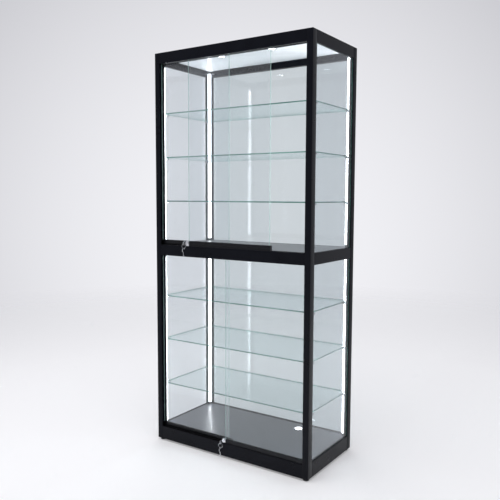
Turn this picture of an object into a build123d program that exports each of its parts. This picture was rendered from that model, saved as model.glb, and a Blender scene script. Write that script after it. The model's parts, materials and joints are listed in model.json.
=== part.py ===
from build123d import *
import os

# Free-standing two-tier display cabinet of clear glass in a black aluminium frame.
# X runs to the right, the sliding doors face -Y, and Z is up from the floor.
# The origin is on the floor under the middle of the outline, hanging keys included.
# Pieces are drawn about the middle of the frame, and save() moves them to that origin.

# Driving sizes of the frame, in millimetres
cabinet_width = 900.0
cabinet_depth = 450.0
foot_height = 10.0
base_rail_height = 70.0
lower_tier_height = 903.0
mid_rail_height = 54.0
upper_tier_height = 910.0
top_rail_height = 53.0

# Posts and rails
post_width = 30.0
post_chamfer = 14.0
post_corner_radius = 1.5
front_lip_drop = 3.0

# Fixed glass and its grooves
pane_thickness = 5.0
pane_groove_width = 6.0
pane_groove_depth = 6.0
pane_top_gap = 1.0
side_pane_setback = 7.0
rear_pane_setback = 10.0

# Decks, ceiling and roof
deck_thickness = 18.0
ceiling_thickness = 3.0
ceiling_recess = 18.0
roof_thickness = 4.0
panel_clearance = 0.5
ledge_width = 8.0
ledge_thickness = 3.0
ledge_end_gap = 22.0

# Shelves
shelf_thickness = 6.0
shelf_side_gap = 8.5
shelf_front_gap = 3.0
shelf_rear_gap = 7.0
shelf_corner_gap = 2.0
lower_shelf_heights = (220.0, 457.0, 685.0)
upper_shelf_heights = (220.0, 442.0, 663.0)
clip_length = 14.0
clip_height = 8.0
clip_width = 20.0

# Corner light strips
led_edge_margin = 0.9
led_height = 7.0
led_wall = 1.5
led_cap_height = 12.0
diffuser_clearance = 0.2

# Round lamps
lamp_flange_radius = 25.0
lamp_flange_thickness = 1.5
lamp_barrel_radius = 19.8
lamp_barrel_depth = 11.0
lamp_lens_radius = 17.0
lamp_lens_thickness = 2.0
lamp_hole_clearance = 0.4
lamp_half_spacing = 147.0
lamp_forward = 72.0
deck_lamp_x = 196.0
deck_lamp_from_rear = 61.0

# Sliding door tracks
track_pocket_wall = 2.0
track_clearance = 0.25
track_base = 2.0
track_outer_wall = 1.5
lower_pocket_depth = 13.0
upper_pocket_depth = 6.0
top_pocket_depth = 20.0
top_track_lip_gap = 2.0
shoe_side_clearance = 0.25
glass_side_clearance = 0.75
track_middle_wall = 3.5
track_rear_wall = 3.5

# Doors
door_glass_thickness = 5.0
glass_channel_clearance = 0.3
glass_channel_depth = 12.0
shoe_width = 12.0
shoe_height = 27.0
glide_channel_width = 8.2
glide_channel_depth = 4.0
glide_drop = 2.0
glide_length = 40.0
glide_clearance = 0.1
glide_inset = 45.0
glide_running_gap = 0.2
top_engagement = 12.0
end_cap_thickness = 2.0
post_pocket_depth = 18.0
door_stop_gap = 1.0
meeting_overhang = 18.0
glass_end_inset = 9.0
left_door_meeting_x = 12.0
lower_right_glass_edge = -15.0
upper_right_glass_edge = -47.0
upper_right_door_opening = 194.0

# Key locks on the right-hand doors
lock_drop_from_shoe_top = 9.5
lock_barrel_radius = 8.0
lock_barrel_proud = 3.0
lock_housing_before = 15.0
lock_housing_after = 3.0
lock_centre_before = 6.0
plug_radius = 5.0
plug_clearance = 0.05
plug_length = 10.0
plug_proud = 1.0
bolt_radius = 3.0
bolt_clearance = 0.05
bolt_gap = 0.5
bolt_setback = 0.4
keeper_length = 9.0
keeper_from_bolt = 5.0
keeper_height = 12.0
keeper_clearance = 0.5

# Keys and split rings
key_thickness = 2.0
key_bow_radius = 11.0
key_bow_offset = 19.0
key_shoulder_height = 8.0
key_hole_radius = 3.5
key_hole_from_edge = 5.0
spare_blade_length = 24.0
spare_blade_width = 7.0
ring_radius = 11.5
ring_wire_radius = 0.8
ring_hang_gap = 0.3

# Feet, screws and electrics
foot_radius = 14.0
foot_pad_height = 7.0
foot_stem_radius = 6.0
foot_inset = 20.0
screw_head_radius = 3.5
screw_head_height = 1.8
screw_shank_radius = 1.9
screw_shank_length = 8.0
screw_hole_clearance = 0.1
screw_end_distance = 14.0
screw_height_above_rail_edge = 16.0
driver_size = (160.0, 44.0, 9.0)
driver_x = 240.0
driver_from_rear = 71.0
inlet_x = 330.0
inlet_size = (30.0, 20.0)
inlet_flange_margin = 4.0
inlet_flange_thickness = 2.0
inlet_depth = 14.0
inlet_clearance = 0.3

# Levels worked out from the driving sizes
base_bottom = foot_height
base_top = base_bottom + base_rail_height
mid_bottom = base_top + lower_tier_height
mid_top = mid_bottom + mid_rail_height
top_bottom = mid_top + upper_tier_height
cabinet_height = top_bottom + top_rail_height
ceiling_bottom = cabinet_height - ceiling_recess - ceiling_thickness
base_front_top = base_top - front_lip_drop

# The posts are as deep as the double track that their pockets line up with
shoe_channel = shoe_width + 2 * shoe_side_clearance
track_depth = track_outer_wall + 2 * shoe_channel + track_middle_wall + track_rear_wall
post_depth = track_depth + 2 * track_clearance + 2 * track_pocket_wall

# Plan lines worked out from the driving sizes
outer_x = cabinet_width / 2
outer_y = cabinet_depth / 2
post_x = outer_x - post_width
front_post_y = -outer_y + post_depth
rear_post_y = outer_y - post_depth
side_rail_x = outer_x - post_width + post_chamfer
rear_rail_y = outer_y - post_depth + post_chamfer
side_pane_x = outer_x - side_pane_setback
rear_pane_y = outer_y - rear_pane_setback
half_groove = pane_groove_width / 2
led_width = post_chamfer * 2 ** 0.5 - 2 * led_edge_margin
deck_lamp_y = rear_rail_y - deck_lamp_from_rear
driver_y = rear_rail_y - driver_from_rear

# Track lines worked out from the post depth
pocket_front_y = -outer_y + track_pocket_wall
pocket_rear_y = front_post_y - track_pocket_wall
track_front_y = pocket_front_y + track_clearance
track_rear_y = pocket_rear_y - track_clearance
front_door_y = track_front_y + track_outer_wall + shoe_side_clearance + shoe_width / 2
door_pitch_y = shoe_channel + track_middle_wall
rear_door_y = front_door_y + door_pitch_y
pocket_end_x = post_x + post_pocket_depth
door_end_x = pocket_end_x - door_stop_gap

lower_pocket_floor = base_front_top - lower_pocket_depth
upper_pocket_floor = mid_top - upper_pocket_depth
lower_top_pocket = mid_bottom + top_pocket_depth
upper_top_pocket = top_bottom + top_pocket_depth


def block(x0, x1, y0, y1, z0, z1):
    """A box between two corners."""
    centre = Pos((x0 + x1) / 2, (y0 + y1) / 2, (z0 + z1) / 2)
    return centre * Box(x1 - x0, y1 - y0, z1 - z0)


def prism(points, z0, z1):
    """An upright prism on a plan outline."""
    face = make_face(Polyline(*points, close=True))
    return Pos(0, 0, z0) * extrude(face, z1 - z0, dir=(0, 0, 1))


def rod_y(radius, x, z, y0, y1):
    """A round bar along Y."""
    return Pos(x, (y0 + y1) / 2, z) * Rot(90, 0, 0) * Cylinder(radius, y1 - y0)


def mirrored(shape):
    """The left-hand twin of a right-hand piece."""
    return mirror(shape, about=Plane.YZ)


def outline_middle_y():
    """Middle of the whole outline in Y, between the rear face and the bow of a hanging key."""
    return (outer_y + ring_hole_y() - key_bow_radius) / 2


def save(name, *solids):
    """Write one node, as one solid or as a group of separate solids."""
    place = Pos(0, -outline_middle_y(), 0)
    pieces = [place * piece for solid in solids for piece in solid.solids()]
    shape = pieces[0] if len(pieces) == 1 else Compound(children=pieces)
    export_step(shape, os.path.join("parts", name + ".step"))


# Posts
def front_post():
    """Right front post, hollowed towards the opening where the doors run in."""
    post = block(post_x, outer_x, -outer_y, front_post_y, base_bottom, cabinet_height)
    corner = post.edges().filter_by(Axis.Z).sort_by(lambda edge: edge.center().X - edge.center().Y)[-1]
    post = fillet(corner, post_corner_radius)
    tiers = ((lower_pocket_floor, lower_top_pocket), (upper_pocket_floor, upper_top_pocket))
    for z0, z1 in tiers:
        post -= block(post_x, pocket_end_x, pocket_front_y, pocket_rear_y, z0, z1)
    post -= block(side_pane_x - half_groove, side_pane_x + half_groove,
                  front_post_y - pane_groove_depth, front_post_y,
                  base_top - pane_groove_depth, top_bottom + pane_groove_depth)
    return post


def rear_post():
    """Right rear post, with a 45 degree inner face for the light strip."""
    outline = ((outer_x, outer_y), (post_x, outer_y), (post_x, rear_rail_y),
               (side_rail_x, rear_post_y), (outer_x, rear_post_y))
    post = prism(outline, base_bottom, cabinet_height)
    corner = post.edges().filter_by(Axis.Z).sort_by(lambda edge: edge.center().X + edge.center().Y)[-1]
    post = fillet(corner, post_corner_radius)
    groove_bottom = base_top - pane_groove_depth
    groove_top = top_bottom + pane_groove_depth
    post -= block(side_pane_x - half_groove, side_pane_x + half_groove,
                  rear_post_y, rear_post_y + pane_groove_depth, groove_bottom, groove_top)
    post -= block(post_x, post_x + pane_groove_depth,
                  rear_pane_y - half_groove, rear_pane_y + half_groove, groove_bottom, groove_top)
    return post


# Rails
def pane_groove_in_side(z0, z1):
    """Groove for a side pane along a side rail."""
    return block(side_pane_x - half_groove, side_pane_x + half_groove, front_post_y, rear_post_y, z0, z1)


def pane_groove_in_rear(z0, z1):
    """Groove for the rear pane along a rear rail."""
    return block(-post_x, post_x, rear_pane_y - half_groove, rear_pane_y + half_groove, z0, z1)


def side_rail(z0, z1, grooves, ledges):
    """Right side rail between the posts, with the ledges that carry the decks."""
    rail = block(side_rail_x, outer_x, front_post_y, rear_post_y, z0, z1)
    for groove in grooves:
        rail -= pane_groove_in_side(*groove)
    for top in ledges:
        rail += block(side_rail_x - ledge_width, side_rail_x, front_post_y + ledge_end_gap,
                      rear_post_y - ledge_end_gap, top - ledge_thickness, top)
    return rail


def rear_rail(z0, z1, grooves, ledges):
    """Rear rail between the rear posts."""
    rail = block(-post_x, post_x, rear_rail_y, outer_y, z0, z1)
    for groove in grooves:
        rail -= pane_groove_in_rear(*groove)
    for top in ledges:
        rail += block(-post_x + ledge_end_gap, post_x - ledge_end_gap,
                      rear_rail_y - ledge_width, rear_rail_y, top - ledge_thickness, top)
    return rail


def front_rail(z0, z1, pockets, ledges):
    """Front rail between the front posts, with the pockets that hold the door tracks."""
    rail = block(-post_x, post_x, -outer_y, front_post_y, z0, z1)
    for pocket_bottom, pocket_top in pockets:
        rail -= block(-post_x, post_x, pocket_front_y, pocket_rear_y, pocket_bottom, pocket_top)
    for top in ledges:
        rail += block(-post_x + ledge_end_gap, post_x - ledge_end_gap,
                      front_post_y, front_post_y + ledge_width, top - ledge_thickness, top)
    return rail


def screw_places():
    """Centre and inward direction of each corner screw on the right half of the top rails."""
    height = top_bottom + screw_height_above_rail_edge
    side = [(side_rail_x, y, height, "side") for y in
            (front_post_y + ledge_end_gap + screw_end_distance, rear_post_y - screw_end_distance)]
    return side + [(post_x - screw_end_distance, rear_rail_y, height, "rear")]


def screw(place, extra=0.0):
    """A pan-head screw, or its hole where extra is the clearance."""
    x, y, z, wall = place
    turn = Rot(0, 90, 0) if wall == "side" else Rot(-90, 0, 0)
    shank = Pos(0, 0, (screw_shank_length + extra) / 2)
    shape = shank * Cylinder(screw_shank_radius + extra, screw_shank_length + extra)
    if extra == 0.0:
        shape += Pos(0, 0, -screw_head_height / 2) * Cylinder(screw_head_radius, screw_head_height)
    return Pos(x, y, z) * turn * shape


# Panels
def panel(z0, z1):
    """A deck, ceiling or roof that fills the frame, cut back at the rear posts."""
    x = side_rail_x - panel_clearance
    y0 = front_post_y + panel_clearance
    y1 = rear_rail_y - panel_clearance
    cut = post_chamfer
    outline = ((-x, y0), (x, y0), (x, y1 - cut), (x - cut, y1), (-x + cut, y1), (-x, y1 - cut))
    return prism(outline, z0, z1)


def lamp_hole(x, y, z0, z1):
    """Round hole for the barrel of a lamp."""
    return Pos(x, y, (z0 + z1) / 2) * Cylinder(lamp_barrel_radius + lamp_hole_clearance, z1 - z0)


def ceiling_lamp_places():
    """Plan places of the two ceiling lamps."""
    return [(side * lamp_half_spacing, -lamp_forward) for side in (-1, 1)]


def lamp_ring(x, y, z, up):
    """Flange and barrel of one lamp, the barrel running up or down from the panel face at z."""
    ring = Pos(0, 0, -lamp_flange_thickness / 2) * Cylinder(lamp_flange_radius, lamp_flange_thickness)
    ring += Pos(0, 0, lamp_barrel_depth / 2) * Cylinder(lamp_barrel_radius, lamp_barrel_depth)
    recess = lamp_lens_thickness + lamp_flange_thickness
    ring -= Pos(0, 0, recess / 2 - lamp_flange_thickness) * Cylinder(lamp_lens_radius, recess)
    turn = Rot(0, 0, 0) if up else Rot(180, 0, 0)
    return Pos(x, y, z) * turn * ring


def lamp_lens(x, y, z, up):
    """Round diffuser of one lamp, seated on the floor of its recess."""
    lens = Pos(0, 0, lamp_lens_thickness / 2) * Cylinder(lamp_lens_radius - diffuser_clearance,
                                                         lamp_lens_thickness)
    turn = Rot(0, 0, 0) if up else Rot(180, 0, 0)
    return Pos(x, y, z) * turn * lens


# Glass
def side_pane(z0, z1):
    """Right side pane, standing on the floor of the lower groove."""
    reach = pane_groove_depth - pane_top_gap
    return block(side_pane_x - pane_thickness / 2, side_pane_x + pane_thickness / 2,
                 front_post_y - reach, rear_post_y + reach, z0 - pane_groove_depth, z1 + reach)


def rear_pane(z0, z1):
    """Rear pane, standing on the floor of the lower groove."""
    reach = pane_groove_depth - pane_top_gap
    return block(-post_x - reach, post_x + reach, rear_pane_y - pane_thickness / 2,
                 rear_pane_y + pane_thickness / 2, z0 - pane_groove_depth, z1 + reach)


def shelf(z):
    """Glass shelf with its four corners cut back from the light strips."""
    x = side_pane_x - pane_thickness / 2 - shelf_side_gap
    y0 = rear_door_y + shoe_width / 2 + shelf_front_gap
    y1 = rear_pane_y - pane_thickness / 2 - shelf_rear_gap
    face = led_height * 2 ** 0.5 + shelf_corner_gap
    front_sum = front_led_x() - front_led_y() - face
    rear_sum = rear_led_x() + rear_led_y() - face
    outline = ((-front_sum - y0, y0), (front_sum + y0, y0), (x, x - front_sum), (x, rear_sum - x),
               (rear_sum - y1, y1), (y1 - rear_sum, y1), (-x, rear_sum - x), (-x, x - front_sum))
    return prism(outline, z, z + shelf_thickness)


# Corner light strips
def rear_led_x():
    """Middle of the rear post's inner face."""
    return side_rail_x - post_chamfer / 2


def rear_led_y():
    return rear_rail_y - post_chamfer / 2


def front_led_x():
    """Middle of the slanted face behind the front post."""
    return side_pane_x - half_groove - post_chamfer / 2


def front_led_y():
    return front_post_y + post_chamfer / 2


def strip_section(front, inner=False):
    """Plan outline of a strip across the corner, with its back on the slanted face."""
    half = led_width / 2 - (led_wall if inner else 0.0)
    low = led_wall if inner else 0.0
    sketch = Pos((low + led_height) / 2, 0) * Rectangle(led_height - low, 2 * half)
    if front:
        return Pos(front_led_x(), front_led_y()) * Rot(0, 0, 135) * sketch
    return Pos(rear_led_x(), rear_led_y()) * Rot(0, 0, -135) * sketch


def upright(section, z0, z1):
    """A plan section drawn up between two levels."""
    return Pos(0, 0, z0) * extrude(section, z1 - z0, dir=(0, 0, 1))


def led_span(front, z0, z1, rear_top):
    """Lowest and highest level of a strip: the rear ones run on past the rail."""
    return (z0, z1) if front else (z0, rear_top)


def led_profile(front, z0, z1):
    """Aluminium channel of one corner, with a wedge behind it at the front."""
    body = upright(strip_section(front), z0 + led_cap_height, z1 - led_cap_height)
    body -= upright(strip_section(front, inner=True), z0 + led_cap_height, z1 - led_cap_height)
    if front:
        x1 = side_pane_x - half_groove
        corner = ((x1, front_post_y), (x1 - post_chamfer, front_post_y), (x1, front_post_y + post_chamfer))
        body += prism(corner, z0 + led_cap_height, z1 - led_cap_height)
    return body


def led_cap(front, z0):
    """Moulded end piece of a light strip."""
    return upright(strip_section(front), z0, z0 + led_cap_height)


def led_diffuser(front, z0, z1):
    """White strip that fills the channel."""
    half = led_width / 2 - led_wall - diffuser_clearance
    sketch = Pos((led_wall + led_height) / 2, 0) * Rectangle(led_height - led_wall, 2 * half)
    if front:
        sketch = Pos(front_led_x(), front_led_y()) * Rot(0, 0, 135) * sketch
    else:
        sketch = Pos(rear_led_x(), rear_led_y()) * Rot(0, 0, -135) * sketch
    return upright(sketch, z0 + led_cap_height, z1 - led_cap_height)


def shelf_clip(front, z):
    """Clip that takes the weight of a shelf corner, fixed to the light channel."""
    x1 = side_pane_x - half_groove
    x0 = x1 - clip_width
    half = led_width / 2 / 2 ** 0.5
    rise = led_height / 2 ** 0.5
    if front:
        y0 = front_led_y() + half + rise
        clip = block(x0, x1, y0, y0 + clip_length, z - clip_height, z)
        clip += block(front_led_x() + half - rise, x1, front_post_y + post_chamfer, y0, z - clip_height, z)
    else:
        y1 = rear_led_y() - half - rise
        clip = block(x0, x1, y1 - clip_length, y1, z - clip_height, z)
        clip += block(rear_led_x() + half - rise, x1, y1, rear_post_y, z - clip_height, z)
    return clip - upright(strip_section(front), z - clip_height, z)


# Door tracks
def track(z_base, z_edge, channel_width):
    """Double track: a plate with three walls, whose free edges reach z_edge."""
    low, high = min(z_base, z_edge), max(z_base, z_edge)
    body = block(-post_x, post_x, track_front_y, track_rear_y, low, high)
    plate = track_base if z_edge > z_base else -track_base
    for y in (front_door_y, rear_door_y):
        z0, z1 = sorted((z_base + plate, z_edge))
        body -= block(-post_x, post_x, y - channel_width / 2, y + channel_width / 2, z0, z1)
    return body


# Doors
def door_levels(tier):
    """Shoe bottom and glass top of a tier."""
    if tier == "lower":
        return lower_pocket_floor + track_base + glide_running_gap + glide_drop, mid_bottom + top_engagement
    return upper_pocket_floor + track_base + glide_running_gap + glide_drop, top_bottom + top_engagement


def door_glass(x0, x1, y, tier):
    """Glass of one door, seated in the channel of its shoe."""
    shoe_bottom, glass_top = door_levels(tier)
    half = door_glass_thickness / 2
    return block(x0, x1, y - half, y + half, shoe_bottom + shoe_height - glass_channel_depth, glass_top)


def door_shoe(x0, x1, y, tier):
    """Aluminium bottom rail of a door, open above for the glass and below for the glides."""
    z0 = door_levels(tier)[0]
    z1 = z0 + shoe_height
    shoe = block(x0, x1, y - shoe_width / 2, y + shoe_width / 2, z0, z1)
    channel = door_glass_thickness / 2 + glass_channel_clearance
    shoe -= block(x0, x1, y - channel, y + channel, z1 - glass_channel_depth, z1)
    shoe -= block(x0, x1, y - glide_channel_width / 2, y + glide_channel_width / 2, z0,
                  z0 + glide_channel_depth)
    return shoe


def door_glides(x0, x1, y, tier):
    """Two nylon glides pressed up into the shoe."""
    z0 = door_levels(tier)[0]
    half = glide_channel_width / 2 - glide_clearance
    glides = []
    for x in (x0 + glide_inset, x1 - glide_inset):
        glides.append(block(x - glide_length / 2, x + glide_length / 2, y - half, y + half,
                            z0 - glide_drop, z0 + glide_channel_depth))
    return glides


def end_cap(x0, y, tier):
    """Plate that closes the end of a shoe, from x0 to the right."""
    z0 = door_levels(tier)[0]
    return block(x0, x0 + end_cap_thickness, y - shoe_width / 2, y + shoe_width / 2, z0, z0 + shoe_height)


# Locks
def lock_place(glass_edge, tier):
    """Axis of a lock, in X and Z."""
    z0 = door_levels(tier)[0]
    return glass_edge - lock_centre_before, z0 + shoe_height - lock_drop_from_shoe_top


def plug_back_y():
    """Inner end of the plug."""
    front = front_door_y - shoe_width / 2 - lock_barrel_proud
    return front - plug_proud + plug_length


def lock_housing(glass_edge, tier):
    """Die-cast block at the free end of the door, with the lock barrel and the bolt bore."""
    x, z = lock_place(glass_edge, tier)
    z0 = door_levels(tier)[0]
    front = front_door_y - shoe_width / 2
    back = front_door_y + shoe_width / 2
    body = block(glass_edge - lock_housing_before, glass_edge + lock_housing_after, front, back, z0,
                 z0 + shoe_height)
    body += rod_y(lock_barrel_radius, x, z, front - lock_barrel_proud, front)
    body -= rod_y(plug_radius + plug_clearance, x, z, front - lock_barrel_proud, plug_back_y())
    body -= rod_y(bolt_radius + bolt_clearance, x, z, plug_back_y(), back)
    slot = door_glass_thickness / 2 + glass_channel_clearance
    body -= block(glass_edge - glass_channel_clearance, glass_edge + lock_housing_after,
                  front_door_y - slot, front_door_y + slot, z0 + shoe_height - glass_channel_depth,
                  z0 + shoe_height)
    return body


def lock_bolt(glass_edge, tier):
    """Round bolt behind the plug, which moves towards the rear door."""
    x, z = lock_place(glass_edge, tier)
    back = front_door_y + shoe_width / 2
    return rod_y(bolt_radius, x, z, plug_back_y() + bolt_gap, back - bolt_setback)


def keeper(glass_edge, tier):
    """Lip on the rear door's shoe that the thrown bolt stands beside."""
    x, z = lock_place(glass_edge, tier)
    face = rear_door_y - shoe_width / 2
    gap = door_pitch_y - shoe_width
    x1 = x - keeper_from_bolt
    return block(x1 - keeper_length, x1, face - gap + keeper_clearance, face, z - keeper_height / 2,
                 z + keeper_height / 2)


def key_bow(y, z):
    """Flat round bow with its hole at the far end, standing in the YZ plane."""
    return Pos(0, y, z) * Rot(0, 90, 0) * Cylinder(key_bow_radius, key_thickness)


def ring_hole_y():
    """Y of the hole in the bow of the key in the lock."""
    front = front_door_y - shoe_width / 2 - lock_barrel_proud - plug_proud
    return front - key_bow_offset - key_bow_radius + key_hole_from_edge


def plug_and_key(glass_edge, tier):
    """Lock plug and the key that stands in it, whose bow takes the split ring."""
    x, z = lock_place(glass_edge, tier)
    front = front_door_y - shoe_width / 2 - lock_barrel_proud - plug_proud
    plug = rod_y(plug_radius, x, z, front, plug_back_y())
    bow_y = front - key_bow_offset
    key = Pos(x, 0, 0) * key_bow(bow_y, z)
    key += block(x - key_thickness / 2, x + key_thickness / 2, bow_y, front,
                 z - key_shoulder_height / 2, z + key_shoulder_height / 2)
    key -= Pos(x, ring_hole_y(), z) * Rot(0, 90, 0) * Cylinder(key_hole_radius, 2 * key_thickness)
    return plug, key


def ring_levels(z):
    """Levels of the ring's top wire, its centre and its bottom wire."""
    top = z - key_hole_radius + ring_wire_radius + ring_hang_gap
    return top, top - ring_radius, top - 2 * ring_radius


def split_ring(glass_edge, tier):
    """Wire ring that hangs through the bow of the key."""
    x, z = lock_place(glass_edge, tier)
    return Pos(x, ring_hole_y(), ring_levels(z)[1]) * Rot(90, 0, 0) * Torus(ring_radius, ring_wire_radius)


def spare_key(glass_edge, tier):
    """Second key that hangs from the bottom of the ring."""
    x, z = lock_place(glass_edge, tier)
    y = ring_hole_y()
    hole_z = ring_levels(z)[2] - key_hole_radius + ring_wire_radius + ring_hang_gap
    bow_z = hole_z - key_bow_radius + key_hole_from_edge
    key = Pos(x, 0, 0) * key_bow(y, bow_z)
    blade_bottom = bow_z - key_bow_radius - spare_blade_length
    key += block(x - key_thickness / 2, x + key_thickness / 2, y - spare_blade_width / 2,
                 y + spare_blade_width / 2, blade_bottom, bow_z)
    key -= Pos(x, y, hole_z) * Rot(0, 90, 0) * Cylinder(key_hole_radius, 2 * key_thickness)
    return key


# Small parts
def foot(x, y):
    """Levelling foot: a wide pad under a short stem."""
    pad = Pos(x, y, foot_pad_height / 2) * Cylinder(foot_radius, foot_pad_height)
    stem_height = foot_height - foot_pad_height
    return pad + Pos(x, y, foot_pad_height + stem_height / 2) * Cylinder(foot_stem_radius, stem_height)


def inlet_solid(extra):
    """Power inlet let into the rear face of the base rail, or its pocket where extra is the clearance."""
    z = (base_bottom + base_top) / 2
    half_x = inlet_size[0] / 2 + extra
    half_z = inlet_size[1] / 2 + extra
    margin = inlet_flange_margin
    body = block(inlet_x - half_x, inlet_x + half_x, outer_y - inlet_depth, outer_y, z - half_z, z + half_z)
    body += block(inlet_x - half_x - margin, inlet_x + half_x + margin,
                  outer_y - inlet_flange_thickness, outer_y, z - half_z - margin, z + half_z + margin)
    return body


def frame_parts():
    """Posts, rails, panels, feet and screws."""
    save("front_posts", front_post(), mirrored(front_post()))
    save("rear_posts", rear_post(), mirrored(rear_post()))

    base_ledge = base_top - deck_thickness
    mid_ledge = mid_top - deck_thickness
    top_ledges = (ceiling_bottom, cabinet_height - roof_thickness)
    up_base = (base_top - pane_groove_depth, base_top)
    down_mid = (mid_bottom, mid_bottom + pane_groove_depth)
    up_mid = (mid_top - pane_groove_depth, mid_top)
    down_top = (top_bottom, top_bottom + pane_groove_depth)

    base_side = side_rail(base_bottom, base_top, (up_base,), (base_ledge,))
    mid_side = side_rail(mid_bottom, mid_top, (down_mid, up_mid), (mid_ledge,))
    top_side = side_rail(top_bottom, cabinet_height, (down_top,), top_ledges)
    top_rear = rear_rail(top_bottom, cabinet_height, (down_top,), top_ledges)
    screws = []
    for place in screw_places():
        hole = screw(place, screw_hole_clearance)
        if place[3] == "side":
            top_side -= hole
        else:
            top_rear -= hole
            top_rear -= mirrored(hole)
        screws.append(screw(place))
        screws.append(mirrored(screw(place)))
    save("base_side_rails", base_side, mirrored(base_side))
    save("mid_side_rails", mid_side, mirrored(mid_side))
    save("top_side_rails", top_side, mirrored(top_side))
    save("corner_screws", *screws)

    base_rear = rear_rail(base_bottom, base_top, (up_base,), (base_ledge,)) - inlet_solid(inlet_clearance)
    save("base_rear_rail", base_rear)
    save("mid_rear_rail", rear_rail(mid_bottom, mid_top, (down_mid, up_mid), (mid_ledge,)))
    save("top_rear_rail", top_rear)
    save("power_inlet", inlet_solid(0.0))

    lower_pocket = (lower_pocket_floor, base_front_top)
    mid_pockets = ((mid_bottom, lower_top_pocket), (upper_pocket_floor, mid_top))
    top_pocket = (top_bottom, upper_top_pocket)
    save("base_front_rail", front_rail(base_bottom, base_front_top, (lower_pocket,), (base_ledge,)))
    save("mid_front_rail", front_rail(mid_bottom, mid_top, mid_pockets, (mid_ledge,)))
    save("top_front_rail", front_rail(top_bottom, cabinet_height, (top_pocket,), top_ledges))

    foot_x = outer_x - foot_inset
    foot_y = outer_y - foot_inset
    save("levelling_feet", *[foot(x, y) for x in (-foot_x, foot_x) for y in (-foot_y, foot_y)])


def panel_parts():
    """Decks, ceiling, roof, lamps and the driver of the lights."""
    base_deck = panel(base_top - deck_thickness, base_top)
    base_deck -= lamp_hole(deck_lamp_x, deck_lamp_y, base_top - deck_thickness, base_top)
    ceiling_top = ceiling_bottom + ceiling_thickness
    ceiling = panel(ceiling_bottom, ceiling_top)
    rings = [lamp_ring(deck_lamp_x, deck_lamp_y, base_top, False)]
    lenses = [lamp_lens(deck_lamp_x, deck_lamp_y, base_top, False)]
    for x, y in ceiling_lamp_places():
        ceiling -= lamp_hole(x, y, ceiling_bottom, ceiling_top)
        rings.append(lamp_ring(x, y, ceiling_bottom, True))
        lenses.append(lamp_lens(x, y, ceiling_bottom, True))
    save("base_deck", base_deck)
    save("mid_deck", panel(mid_top - deck_thickness, mid_top))
    save("ceiling_panel", ceiling)
    save("roof_panel", panel(cabinet_height - roof_thickness, cabinet_height))
    save("lamp_rings", *rings)
    save("lamp_lenses", *lenses)
    length, depth, height = driver_size
    save("light_driver", block(driver_x - length / 2, driver_x + length / 2, driver_y - depth / 2,
                               driver_y + depth / 2, ceiling_top, ceiling_top + height))


def glass_parts():
    """Fixed panes, shelves and their clips."""
    lower = side_pane(base_top, mid_bottom)
    upper = side_pane(mid_top, top_bottom)
    save("lower_side_panes", lower, mirrored(lower))
    save("upper_side_panes", upper, mirrored(upper))
    save("lower_rear_pane", rear_pane(base_top, mid_bottom))
    save("upper_rear_pane", rear_pane(mid_top, top_bottom))
    clips = []
    tiers = (("lower", base_top, lower_shelf_heights), ("upper", mid_top, upper_shelf_heights))
    for tier, deck, heights in tiers:
        for number, height in enumerate(heights, start=1):
            save(tier + "_shelf_" + str(number), shelf(deck + height))
            for front in (True, False):
                clip = shelf_clip(front, deck + height)
                clips += [clip, mirrored(clip)]
    save("shelf_clips", *clips)


def light_parts():
    """Light strips in the four corners of both tiers."""
    profiles = []
    diffusers = []
    caps = []
    mid_ceiling = mid_top - deck_thickness - ledge_thickness
    top_ceiling = ceiling_bottom - ledge_thickness
    tiers = ((base_top, mid_bottom, mid_ceiling), (mid_top, top_bottom, top_ceiling))
    for z0, rail_bottom, ceiling in tiers:
        for front in (True, False):
            low, high = led_span(front, z0, rail_bottom, ceiling)
            pieces = (led_profile(front, low, high), led_diffuser(front, low, high))
            ends = (led_cap(front, low), led_cap(front, high - led_cap_height))
            profiles += [pieces[0], mirrored(pieces[0])]
            diffusers += [pieces[1], mirrored(pieces[1])]
            for end in ends:
                caps += [end, mirrored(end)]
    save("light_strip_channels", *profiles)
    save("light_strip_diffusers", *diffusers)
    save("light_strip_end_caps", *caps)


def track_parts():
    """Double tracks above and below the doors of both tiers."""
    glass_channel = door_glass_thickness + 2 * glass_side_clearance
    save("door_bottom_tracks", track(lower_pocket_floor, base_front_top - 1.0, shoe_channel),
         track(upper_pocket_floor, mid_top, shoe_channel))
    save("door_top_tracks", track(lower_top_pocket, mid_bottom + top_track_lip_gap, glass_channel),
         track(upper_top_pocket, top_bottom + top_track_lip_gap, glass_channel))


def left_door(tier, lock_glass_edge):
    """Rear-running door at the left, closed, with the keeper for the bolt."""
    y = rear_door_y
    x0 = -door_end_x
    x1 = left_door_meeting_x
    shoe = door_shoe(x0 + end_cap_thickness, x1 - end_cap_thickness, y, tier)
    shoe += keeper(lock_glass_edge, tier)
    save(tier + "_left_door_glass", door_glass(x0 + glass_end_inset, x1 - meeting_overhang, y, tier))
    save(tier + "_left_door_shoe", shoe)
    caps = [end_cap(x0, y, tier), end_cap(x1 - end_cap_thickness, y, tier)]
    save(tier + "_left_door_glides", *door_glides(x0, x1, y, tier), *caps)


def right_door(tier, closed_glass_edge, opening):
    """Front-running door at the right with its lock, standing open to the left by the given amount."""
    y = front_door_y
    edge = closed_glass_edge - opening
    x1 = door_end_x - opening
    x0 = edge + lock_housing_after
    save(tier + "_right_door_glass", door_glass(edge, x1 - glass_end_inset, y, tier))
    save(tier + "_right_door_shoe", door_shoe(x0, x1 - end_cap_thickness, y, tier))
    save(tier + "_right_door_glides", *door_glides(x0, x1, y, tier), end_cap(x1 - end_cap_thickness, y, tier))
    save(tier + "_lock_housing", lock_housing(edge, tier))
    save(tier + "_lock_plug_and_key", *plug_and_key(edge, tier))
    save(tier + "_lock_bolt", lock_bolt(edge, tier))
    save(tier + "_key_ring", split_ring(edge, tier))
    save(tier + "_spare_key", spare_key(edge, tier))


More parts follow.
